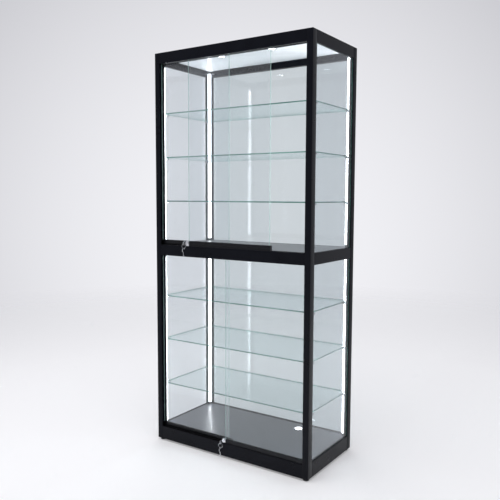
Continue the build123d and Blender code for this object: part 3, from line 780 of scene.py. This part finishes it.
def bow_arc(neck_half):
    """The round bow from one side of the neck to the other, its middle at nought."""
    start = math.asin(neck_half / key_bow_radius) - math.pi / 2
    sweep = 2 * math.pi - 2 * math.asin(neck_half / key_bow_radius)
    return [(key_bow_radius * math.cos(start + sweep * k / arc_steps),
             key_bow_radius * math.sin(start + sweep * k / arc_steps)) for k in range(arc_steps + 1)]


def cut_blade(reach):
    """Outline of the blade from the bow's left side round its tip and up its cut side."""
    points = [(-key_blade_half, -reach + key_tip), (-key_blade_half + key_tip, -reach)]
    points += [(key_tip_flat, -reach)]
    step = (reach - key_bow_radius - 2 * key_tip) / len(key_cuts)
    for count, depth in enumerate(key_cuts):
        level = -reach + key_tip + step * (count + 0.5)
        side = key_blade_half - depth
        points += [(side, level - step * key_cut_share), (side, level + step * key_cut_share)]
    return points + [(key_blade_half, -key_bow_radius - key_tip)]


def flat_key(outline, axes):
    """A blanked key with a ring hole, standing on the given right, up and face directions."""
    curve = bpy.data.curves.new("blank", "CURVE")
    curve.dimensions = "2D"
    curve.fill_mode = "BOTH"
    curve.extrude = key_thickness / 2 - key_rim
    curve.bevel_depth = key_rim
    curve.bevel_resolution = 1
    curve.offset = -key_rim
    hole_up = key_bow_radius - key_hole_from_edge
    hole = [(key_hole_radius * math.cos(a), hole_up + key_hole_radius * math.sin(a))
            for a in (2 * math.pi * k / arc_steps for k in range(arc_steps))]
    for points in (outline, hole):
        spline = curve.splines.new("POLY")
        spline.points.add(len(points) - 1)
        for point, (across, along) in zip(spline.points, points):
            point.co = (across, along, 0, 1)
        spline.use_cyclic_u = True
    host = bpy.data.objects.new("blank", curve)
    bpy.context.scene.collection.objects.link(host)
    graph = bpy.context.evaluated_depsgraph_get()
    mesh = bpy.data.meshes.new_from_object(host.evaluated_get(graph), depsgraph=graph)
    bpy.data.objects.remove(host)
    mesh.transform(Matrix(axes).transposed().to_4x4())
    return mesh


def closed_from(work, mesh, place):
    """Adds a mesh to the work at a place and closes its doubled seams."""
    mesh.transform(Matrix.Translation(place))
    work.from_mesh(mesh)
    bpy.data.meshes.remove(mesh)
    bmesh.ops.remove_doubles(work, verts=work.verts, dist=weld_distance)
    bmesh.ops.recalc_face_normals(work, faces=work.faces)


def put_in_place(node, name, work, material):
    """The finished piece for a CAD node, on that node's body."""
    piece = new_piece(name, work, material)
    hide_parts(node)
    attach(piece, body_with(node))


for tier in ("lower", "upper"):
    edged(tier + "_lock_housing", tier + "_lock_block", "chrome", lock_edge, chrome)
    edged(tier + "_lock_bolt", tier + "_lock_pin", "chrome", bolt_edge, chrome)
    low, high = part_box(tier + "_lock_plug_and_key")
    plug_front = high.y - plug_length
    axis_x = (low.x + high.x) / 2
    axis_z = (low.z + high.z) / 2
    bow_y = low.y + key_bow_radius
    plug = bmesh.new()
    dish = ((0, plug_dish_depth), (plug_dish_radius, plug_dish_depth),
            (plug_dish_radius + plug_dish_depth, 0))
    barrel = ((plug_radius - plug_rim, 0), (plug_radius, plug_rim),
              (plug_radius, plug_length), (0, plug_length))
    turned(plug, dish + barrel, Vector((axis_x, plug_front, axis_z)))
    neck = plug_front + key_enters - bow_y
    inserted = bow_arc(key_shoulder_half) + [(-key_shoulder_half, -neck), (key_shoulder_half, -neck)]
    key_mesh = flat_key(inserted, (Vector((0, 0, 1)), Vector((0, -1, 0)), Vector((1, 0, 0))))
    closed_from(plug, key_mesh, Vector((axis_x, bow_y, axis_z)))
    put_in_place(tier + "_lock_plug_and_key", tier + "_lock_plug_with_key", plug, chrome)
    low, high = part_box(tier + "_spare_key")
    hanging = bmesh.new()
    bow_z = high.z - key_bow_radius
    key_mesh = flat_key(bow_arc(key_blade_half) + cut_blade(bow_z - low.z),
                        (Vector((0, 1, 0)), Vector((0, 0, 1)), Vector((1, 0, 0))))
    closed_from(hanging, key_mesh, Vector(((low.x + high.x) / 2, (low.y + high.y) / 2, bow_z)))
    put_in_place(tier + "_spare_key", tier + "_hanging_key", hanging, chrome)


def split_ring(low, high):
    """Two turns of spring wire side by side, whose ends stay open."""
    centre = (low + high) / 2
    radius = (high.x - low.x) / 2 - ring_wire * 2
    steps = ring_steps * ring_turns
    crossing_start = (steps - ring_crossing_steps) / 2
    work = bmesh.new()
    rings = []
    for step in range(steps + 1):
        angle = 2 * math.pi * ring_turns * step / steps + ring_start
        crossed = min(1, max(0, (step - crossing_start) / ring_crossing_steps))
        shift = ring_wire * ring_turn_spacing * (2 * crossed - 1)
        out = Vector((math.cos(angle), 0, math.sin(angle)))
        middle = centre + out * radius + Vector((0, shift, 0))
        rings.append([work.verts.new(middle + (out * math.cos(a) + Vector((0, math.sin(a), 0))) * ring_wire)
                      for a in (2 * math.pi * k / ring_sides for k in range(ring_sides))])
    for first, second in zip(rings, rings[1:]):
        for k in range(ring_sides):
            after = (k + 1) % ring_sides
            work.faces.new((first[k], first[after], second[after], second[k]))
    work.faces.new(rings[0])
    work.faces.new(rings[-1][::-1])
    bmesh.ops.recalc_face_normals(work, faces=work.faces)
    return work


for tier in ("lower", "upper"):
    put_in_place(tier + "_key_ring", tier + "_split_ring", split_ring(*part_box(tier + "_key_ring")),
                 chrome)

# Corner screws: pan-head screws that pull the top rails to the posts from the inside.
# They are plated steel, with a domed head and a cross recess.
screw_head_radius = 0.0035
screw_head_height = 0.0018
screw_shank_radius = 0.0019
screw_shank_length = 0.008
screw_recess = (0.0040, 0.0009, 0.0012)
screw_head_sides = 32
screw_head_rings = 16
screw_shank_sides = 24
screw_colour = (0.70, 0.71, 0.73, 1)
screw_roughness = (0.12, 0.32)
screw_lines = (1, 1, 1)


def screw_seats():
    """Where each head stands on the rail and which way it faces."""
    seats = []
    for low, high in solids_in("corner_screws"):
        axis = max(range(2), key=lambda k: high[k] - low[k])
        middle = (low + high) / 2
        facing = -1 if middle[axis] > 0 else 1
        seat = middle.copy()
        seat[axis] = (low[axis] if facing < 0 else high[axis]) - facing * screw_head_height
        out = Vector((0, 0, 0))
        out[axis] = facing
        seats.append((seat, out))
    return sorted(seats, key=lambda pair: tuple(pair[0]))


def screw_tree():
    """Geometry nodes that set a cross-recess screw on every point, facing along the point's out direction."""
    tree = bpy.data.node_groups.new("pan_head_screws", "GeometryNodeTree")
    socket_in(tree, "Geometry", "NodeSocketGeometry", None)
    tree.interface.new_socket("Geometry", in_out="OUTPUT", socket_type="NodeSocketGeometry")
    socket_in(tree, "Head Radius", "NodeSocketFloat", screw_head_radius)
    socket_in(tree, "Head Height", "NodeSocketFloat", screw_head_height)
    socket_in(tree, "Recess", "NodeSocketVector", screw_recess)
    socket_in(tree, "Finish", "NodeSocketMaterial", None)
    given = tree.nodes.new("NodeGroupInput").outputs
    dome = tree.nodes.new("GeometryNodeMeshUVSphere")
    dome.inputs["Segments"].default_value = screw_head_sides
    dome.inputs["Rings"].default_value = screw_head_rings
    tree.links.new(given["Head Radius"], dome.inputs["Radius"])
    flatten = tree.nodes.new("ShaderNodeCombineXYZ")
    flatten.inputs["X"].default_value = 1
    flatten.inputs["Y"].default_value = 1
    share = tree.nodes.new("ShaderNodeMath")
    share.operation = "DIVIDE"
    tree.links.new(given["Head Height"], share.inputs[0])
    tree.links.new(given["Head Radius"], share.inputs[1])
    tree.links.new(share.outputs[0], flatten.inputs["Z"])
    squat = tree.nodes.new("GeometryNodeTransform")
    tree.links.new(dome.outputs["Mesh"], squat.inputs["Geometry"])
    tree.links.new(flatten.outputs["Vector"], squat.inputs["Scale"])
    shank = tree.nodes.new("GeometryNodeMeshCylinder")
    shank.inputs["Vertices"].default_value = screw_shank_sides
    shank.inputs["Radius"].default_value = screw_shank_radius
    shank.inputs["Depth"].default_value = screw_shank_length
    sunk = tree.nodes.new("GeometryNodeTransform")
    sunk.inputs["Translation"].default_value = (0, 0, -screw_shank_length / 2)
    tree.links.new(shank.outputs["Mesh"], sunk.inputs["Geometry"])
    cut = tree.nodes.new("GeometryNodeMeshBoolean")
    cut.operation = "DIFFERENCE"
    tree.links.new(squat.outputs["Geometry"], cut.inputs["Mesh 1"])
    for quarter in (0, math.pi / 2):
        slot = tree.nodes.new("GeometryNodeMeshCube")
        tree.links.new(given["Recess"], slot.inputs["Size"])
        lift = tree.nodes.new("ShaderNodeCombineXYZ")
        tree.links.new(given["Head Height"], lift.inputs["Z"])
        aim = tree.nodes.new("GeometryNodeTransform")
        aim.inputs["Rotation"].default_value = (0, 0, quarter)
        tree.links.new(slot.outputs["Mesh"], aim.inputs["Geometry"])
        tree.links.new(lift.outputs["Vector"], aim.inputs["Translation"])
        tree.links.new(aim.outputs["Geometry"], cut.inputs["Mesh 2"])
    whole = tree.nodes.new("GeometryNodeMeshBoolean")
    whole.operation = "UNION"
    tree.links.new(cut.outputs["Mesh"], whole.inputs["Mesh 2"])
    tree.links.new(sunk.outputs["Geometry"], whole.inputs["Mesh 2"])
    facing = tree.nodes.new("GeometryNodeInputNamedAttribute")
    facing.data_type = "FLOAT_VECTOR"
    facing.inputs["Name"].default_value = "out"
    align = tree.nodes.new("FunctionNodeAlignRotationToVector")
    align.axis = "Z"
    tree.links.new(facing.outputs["Attribute"], align.inputs["Vector"])
    stand = tree.nodes.new("GeometryNodeInstanceOnPoints")
    tree.links.new(given["Geometry"], stand.inputs["Points"])
    tree.links.new(whole.outputs["Mesh"], stand.inputs["Instance"])
    tree.links.new(align.outputs["Rotation"], stand.inputs["Rotation"])
    real = tree.nodes.new("GeometryNodeRealizeInstances")
    tree.links.new(stand.outputs["Instances"], real.inputs["Geometry"])
    coat = tree.nodes.new("GeometryNodeSetMaterial")
    tree.links.new(real.outputs["Geometry"], coat.inputs["Geometry"])
    tree.links.new(given["Finish"], coat.inputs["Material"])
    tree.links.new(coat.outputs["Geometry"], tree.nodes.new("NodeGroupOutput").inputs["Geometry"])
    return tree


screw_steel = brushed_steel("plated_screw_steel", screw_colour, screw_roughness, screw_lines)
seats = screw_seats()
seat_mesh = bpy.data.meshes.new("screw_seats")
seat_mesh.from_pydata([seat for seat, out in seats], [], [])
facing_data = seat_mesh.attributes.new("out", "FLOAT_VECTOR", "POINT")
for entry, (seat, out) in zip(facing_data.data, seats):
    entry.vector = out
screws = bmesh.new()
screws.from_mesh(grown_mesh(screw_tree(), {"Head Radius": screw_head_radius, "Head Height": screw_head_height,
                                           "Recess": screw_recess, "Finish": screw_steel}, seat_mesh))
put_in_place("corner_screws", "pan_head_screws", screws, screw_steel)

# Studio: a pale floor that fades into a pale surround, so that there is no horizon.
# The surround and large soft lamps light it, and narrow lamps throw the light of the strips.
# The wall is brightest behind the cabinet and dims to the sides, as in the photograph.
floor_reach = 7.0
floor_sides = 96
floor_colour = (0.74, 0.74, 0.76, 1)
floor_roughness = (0.55, 0.65)
floor_cloud_size = 0.3
floor_fade = (2.2, 6.0)
floor_lift = 0.20
floor_lift_colour = (0.99, 0.99, 1, 1)
surround_colour = (0.62, 0.62, 0.6386, 1)
wall_axis = (-0.557, 0.827, -0.08)
wall_colours = ((0.50, 0.50, 0.535, 1), (0.87, 0.87, 0.905, 1))
wall_dims_between = (0.82, 0.985)
softbox_colour = (1.0, 0.99, 0.98)
strip_power = 1.9
strip_lamp_width = 0.0117
strip_lamp_gap = 0.001


def seen_share(tree):
    """One for rays from the camera, a mirror or glass, and nought for the rest."""
    path = tree.nodes.new("ShaderNodeLightPath")
    share = path.outputs["Is Camera Ray"]
    for kind in ("Is Glossy Ray", "Is Transmission Ray"):
        either = tree.nodes.new("ShaderNodeMath")
        either.operation = "MAXIMUM"
        tree.links.new(share, either.inputs[0])
        tree.links.new(path.outputs[kind], either.inputs[1])
        share = either.outputs[0]
    return share


def fading_floor():
    """Pale matt floor that clears towards its rim and glows a little where it is seen."""
    material, tree, shader = shader_of("pale_studio_floor", floor_colour)
    place = tree.nodes.new("ShaderNodeTexCoord")
    distance = tree.nodes.new("ShaderNodeVectorMath")
    distance.operation = "LENGTH"
    tree.links.new(place.outputs["Object"], distance.inputs[0])
    clear = tree.nodes.new("ShaderNodeBsdfTransparent")
    fade = spread(tree, distance.outputs["Value"], 0, 1, *floor_fade)
    both = mixed(tree, fade, shader.outputs["BSDF"], clear.outputs["BSDF"])
    tree.links.new(both, tree.nodes["Material Output"].inputs["Surface"])
    tree.links.new(spread(tree, grain(tree, floor_cloud_size), *floor_roughness), shader.inputs["Roughness"])
    shader.inputs["Emission Color"].default_value = floor_lift_colour
    tree.links.new(spread(tree, seen_share(tree), 0, floor_lift, 0, 1), shader.inputs["Emission Strength"])
    return material


disc = bmesh.new()
bmesh.ops.create_circle(disc, cap_ends=True, radius=floor_reach, segments=floor_sides)
floor = new_piece("studio_floor", disc, fading_floor())

world = bpy.data.worlds.new("pale_surround")
world.use_nodes = True
bpy.context.scene.world = world
air = world.node_tree
background = air.nodes["Background"]
where = air.nodes.new("ShaderNodeTexCoord")
facing = air.nodes.new("ShaderNodeVectorMath")
facing.operation = "DOT_PRODUCT"
facing.inputs[1].default_value = wall_axis
air.links.new(where.outputs["Generated"], facing.inputs[0])
wall = blend_colours(air, facing.outputs["Value"], *wall_colours, *wall_dims_between)
backdrop = air.nodes.new("ShaderNodeBackground")
air.links.new(wall, backdrop.inputs["Color"])
background.inputs["Color"].default_value = surround_colour
both = mixed(air, seen_share(air), background.outputs["Background"], backdrop.outputs["Background"])
air.links.new(both, air.nodes["World Output"].inputs["Surface"])


def unseen_lamp(name, lamp, power):
    """Hangs an area lamp that neither the camera nor a mirror sees."""
    lamp.energy = power
    holder = bpy.data.objects.new(name, lamp)
    holder.visible_camera = False
    holder.visible_glossy = False
    bpy.context.scene.collection.objects.link(holder)
    return holder


def softbox(name, place, target, size, power):
    """A large square lamp aimed at a point."""
    lamp = bpy.data.lights.new(name, "AREA")
    lamp.size = size
    lamp.color = softbox_colour
    holder = unseen_lamp(name, lamp, power)
    aim = Vector(target) - Vector(place)
    holder.rotation_euler = aim.to_track_quat("-Z", "Y").to_euler()
    holder.location = place


def strip_lamp(name, seat, turn, low, high):
    """A narrow lamp just before a strip's cover, which throws the strip's light."""
    lamp = bpy.data.lights.new(name, "AREA")
    lamp.shape = "RECTANGLE"
    lamp.size = strip_lamp_width
    lamp.size_y = high - low
    lamp.color = light_colour[:3]
    holder = unseen_lamp(name, lamp, strip_power * (high - low))
    out = Vector((math.cos(turn), math.sin(turn), 0))
    across = Vector((-out.y, out.x, 0))
    place = seat + out * (strip_height + cover_crown + strip_lamp_gap) + Vector((0, 0, (low + high) / 2))
    facing_out = Matrix((across, Vector((0, 0, -1)), -out)).transposed()
    holder.matrix_world = Matrix.Translation(place) @ facing_out.to_4x4()


softbox("overhead_softbox", place=(0.1, -1.0, 4.4), target=(0, 0, 0.6), size=2.4, power=75)
softbox("high_rear_softbox", place=(-1.6, 1.6, 4.2), target=(0, 0, 1.0), size=1.8, power=20)
softbox("tall_front_lamp", place=(-1.75, -3.4, 1.75), target=(0.4, -0.2, 1.5), size=0.5, power=9)
for count, (seat, turn, low, high) in enumerate(strips):
    strip_lamp("strip_lamp_" + str(count), seat, turn, low, high)

# Camera: stands in front to the right at chest height and looks slightly down, as in the photograph.
# Its place and turn were fitted to the frame's outline, with the picture's middle on the lens axis.
camera_place = (1.7233, -2.5784, 1.2853)
camera_yaw = math.radians(33.8594)
camera_pitch = math.radians(4.9658)
camera_roll = math.radians(0.2006)
focal_pixels = 616.453
picture_pixels = 500
sensor_width = 36.0
glass_layers = 48

forward = Vector((-math.sin(camera_yaw) * math.cos(camera_pitch),
                  math.cos(camera_yaw) * math.cos(camera_pitch),
                  -math.sin(camera_pitch)))
level_right = Vector((math.cos(camera_yaw), math.sin(camera_yaw), 0))
level_up = level_right.cross(forward)
right = level_right * math.cos(camera_roll) + level_up * math.sin(camera_roll)
up = level_up * math.cos(camera_roll) - level_right * math.sin(camera_roll)
eye = bpy.data.cameras.new("photo_camera")
eye.sensor_fit = "HORIZONTAL"
eye.sensor_width = sensor_width
eye.lens = focal_pixels / picture_pixels * sensor_width
camera = bpy.data.objects.new("photo_camera", eye)
turn = Matrix((right, up, -forward)).transposed().to_4x4()
camera.matrix_world = Matrix.Translation(camera_place) @ turn
bpy.context.scene.collection.objects.link(camera)
bpy.context.scene.camera = camera
bpy.context.scene.view_settings.view_transform = "Standard"
bpy.context.scene.cycles.transparent_max_bounces = glass_layers
